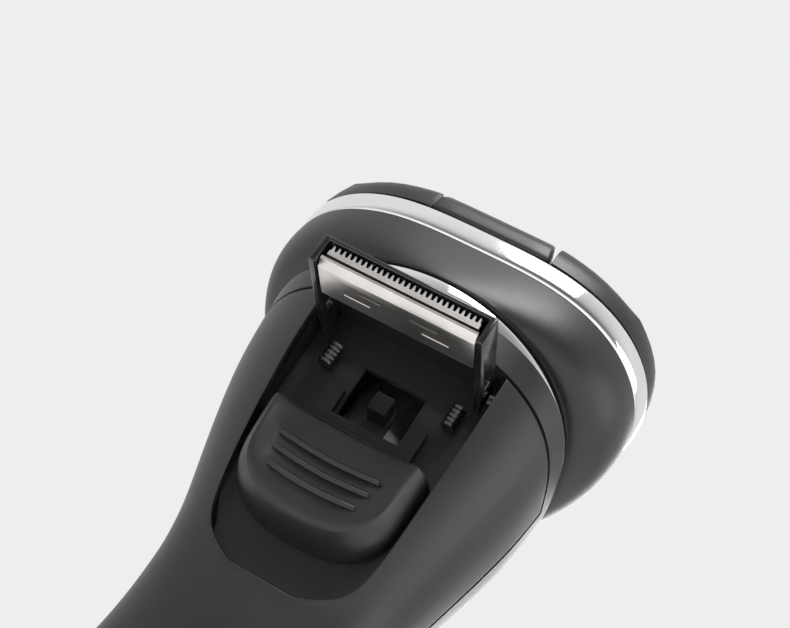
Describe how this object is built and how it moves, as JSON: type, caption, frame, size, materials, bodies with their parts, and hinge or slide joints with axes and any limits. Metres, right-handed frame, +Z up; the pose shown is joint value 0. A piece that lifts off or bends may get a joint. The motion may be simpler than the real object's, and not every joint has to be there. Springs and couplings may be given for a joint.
{
  "type": "electric shaver",
  "caption": "Upright rotary shaver with three floating shaving units under a hinged frame, a slide-operated pop-up trimmer and a waisted black handle.",
  "frame": {"origin": "on the flat base, under the handle's axis", "axes": "+Z up the handle to the head, -Y the front with the power button, +Y the back with the trimmer"},
  "size_m": [0.0652, 0.0721, 0.1565],
  "materials": {
    "black_matte": "fine-grained satin moulded plastic",
    "black_gloss": "polished black plastic",
    "chrome": "bright plated trim",
    "steel": "satin stainless steel",
    "dark_grey": "plain moulded plastic",
    "rubber": "soft black seal",
    "white_plastic": "white acetal",
    "board_green": "solder-masked board",
    "cell_blue": "shrink-wrapped cell",
    "light_lens": "tinted lens",
    "brass": "bright brass"
  },
  "bodies": {
    "handle": {"front_shell": "black_matte", "rear_cover": "black_matte", "front_panel": "black_gloss", "charge_light": "light_lens", "base_cap": "black_matte", "charge_inlet": "dark_grey", "inlet_pin_left": "brass", "inlet_pin_right": "brass", "base_screw_left": "steel", "base_screw_right": "steel", "neck_ring": "chrome", "chassis": "dark_grey", "battery_cell": "cell_blue", "battery_contact_top": "brass", "battery_contact_bottom": "brass", "circuit_board": "board_green", "main_switch": "white_plastic", "motor_can": "steel", "gear_deck": "dark_grey", "trimmer_bay": "dark_grey", "hinge_pin_left": "black_gloss", "hinge_pin_right": "black_gloss", "trimmer_spring_left": "black_gloss", "trimmer_spring_right": "black_gloss", "head_housing": "black_matte", "head_ring": "chrome", "head_seal": "rubber"},
    "button": {"power_button": "chrome"},
    "release": {"head_release": "dark_grey"},
    "shaving_head": {"head_bezel": "black_matte", "head_hinge_block": "black_matte", "retaining_plate": "white_plastic", "comb_rim_left": "chrome", "comb_rim_right": "chrome", "comb_rim_front": "chrome"},
    "pinion": {"motor_pinion": "brass", "motor_rotor": "steel"},
    "slide": {"trimmer_slide": "black_matte", "slide_fork": "dark_grey"},
    "trimmer": {"trimmer_frame": "black_gloss", "trimmer_plate": "steel", "trimmer_comb": "steel"},
    "blade": {"trimmer_blade": "steel"},
    "lever": {"trimmer_lever": "dark_grey"},
    "drive_right": {"drive_gear_right": "white_plastic", "drive_spindle_right": "white_plastic"},
    "comb_right": {"shaving_comb_right": "steel"},
    "cutter_right": {"cutter_right": "steel"},
    "drive_left": {"drive_gear_left": "white_plastic", "drive_spindle_left": "white_plastic"},
    "comb_left": {"shaving_comb_left": "steel"},
    "cutter_left": {"cutter_left": "steel"},
    "drive_front": {"drive_gear_front": "white_plastic", "drive_spindle_front": "white_plastic"},
    "comb_front": {"shaving_comb_front": "steel"},
    "cutter_front": {"cutter_front": "steel"}
  },
  "joints": [
    {"name": "power_press", "type": "slide", "parent": "handle", "child": "button", "axis": [0, 1, 0], "range_m": [0, 0.0008], "stiffness_N_per_m": 600, "springref_m": -0.0005},
    {"name": "release_press", "type": "slide", "parent": "handle", "child": "release", "axis": [0, 0.9781, 0.2079], "range_m": [0, 0.001], "stiffness_N_per_m": 600, "springref_m": -0.0005},
    {"name": "head_open", "type": "hinge", "parent": "handle", "child": "shaving_head", "pos_m": [0, 0.0186, 0.15119], "axis": [-1, 0, 0], "range_deg": [0, 95]},
    {"name": "motor_spin", "type": "hinge", "parent": "handle", "child": "pinion", "pos_m": [0, -0.00308, 0.13053], "axis": [0, -0.2079, 0.9781], "continuous": true},
    {"name": "slide_travel", "type": "slide", "parent": "handle", "child": "slide", "axis": [0, 0.0872, 0.9962], "range_m": [-0.006, 0]},
    {"name": "trimmer_pivot", "type": "hinge", "parent": "handle", "child": "trimmer", "pos_m": [0, 0.016, 0.126], "axis": [1, 0, 0], "range_deg": [-85, 0]},
    {"name": "lever_rock", "type": "hinge", "parent": "handle", "child": "lever", "pos_m": [0, 0.00905, 0.1095], "axis": [0, 1, 0], "range_deg": [-3.6, 3.6]},
    {"name": "blade_stroke", "type": "slide", "parent": "trimmer", "child": "blade", "axis": [1, 0, 0], "range_m": [-0.0008, 0.0008]},
    {"name": "drive_spin_right", "type": "hinge", "parent": "handle", "child": "drive_right", "pos_m": [0.01299, 0.00426, 0.13209], "axis": [0, -0.2079, 0.9781], "continuous": true},
    {"name": "comb_float_right", "type": "slide", "parent": "shaving_head", "child": "comb_right", "axis": [0, 0.2079, -0.9781], "range_m": [0, 0.0012], "stiffness_N_per_m": 300, "springref_m": -0.0006},
    {"name": "cutter_spin_right", "type": "hinge", "parent": "comb_right", "child": "cutter_right", "pos_m": [0.01299, 0.00114, 0.14676], "axis": [0, -0.2079, 0.9781], "continuous": true},
    {"name": "drive_spin_left", "type": "hinge", "parent": "handle", "child": "drive_left", "pos_m": [-0.01299, 0.00426, 0.13209], "axis": [0, -0.2079, 0.9781], "continuous": true},
    {"name": "comb_float_left", "type": "slide", "parent": "shaving_head", "child": "comb_left", "axis": [0, 0.2079, -0.9781], "range_m": [0, 0.0012], "stiffness_N_per_m": 300, "springref_m": -0.0006},
    {"name": "cutter_spin_left", "type": "hinge", "parent": "comb_left", "child": "cutter_left", "pos_m": [-0.01299, 0.00114, 0.14676], "axis": [0, -0.2079, 0.9781], "continuous": true},
    {"name": "drive_spin_front", "type": "hinge", "parent": "handle", "child": "drive_front", "pos_m": [0, -0.01775, 0.12741], "axis": [0, -0.2079, 0.9781], "continuous": true},
    {"name": "comb_float_front", "type": "slide", "parent": "shaving_head", "child": "comb_front", "axis": [0, 0.2079, -0.9781], "range_m": [0, 0.0012], "stiffness_N_per_m": 300, "springref_m": -0.0006},
    {"name": "cutter_spin_front", "type": "hinge", "parent": "comb_front", "child": "cutter_front", "pos_m": [0, -0.02087, 0.14208], "axis": [0, -0.2079, 0.9781], "continuous": true}
  ],
  "couplings": [
    {"joint": "trimmer_pivot", "follows": "slide_travel", "rad_per_m": 247.25},
    {"joint": "lever_rock", "follows": "blade_stroke", "rad_per_m": 76.358},
    {"joint": "drive_spin_right", "follows": "motor_spin", "ratio": -0.875},
    {"joint": "cutter_spin_right", "follows": "motor_spin", "ratio": -0.875},
    {"joint": "drive_spin_left", "follows": "motor_spin", "ratio": -0.875},
    {"joint": "cutter_spin_left", "follows": "motor_spin", "ratio": -0.875},
    {"joint": "drive_spin_front", "follows": "motor_spin", "ratio": -0.875},
    {"joint": "cutter_spin_front", "follows": "motor_spin", "ratio": -0.875}
  ]
}
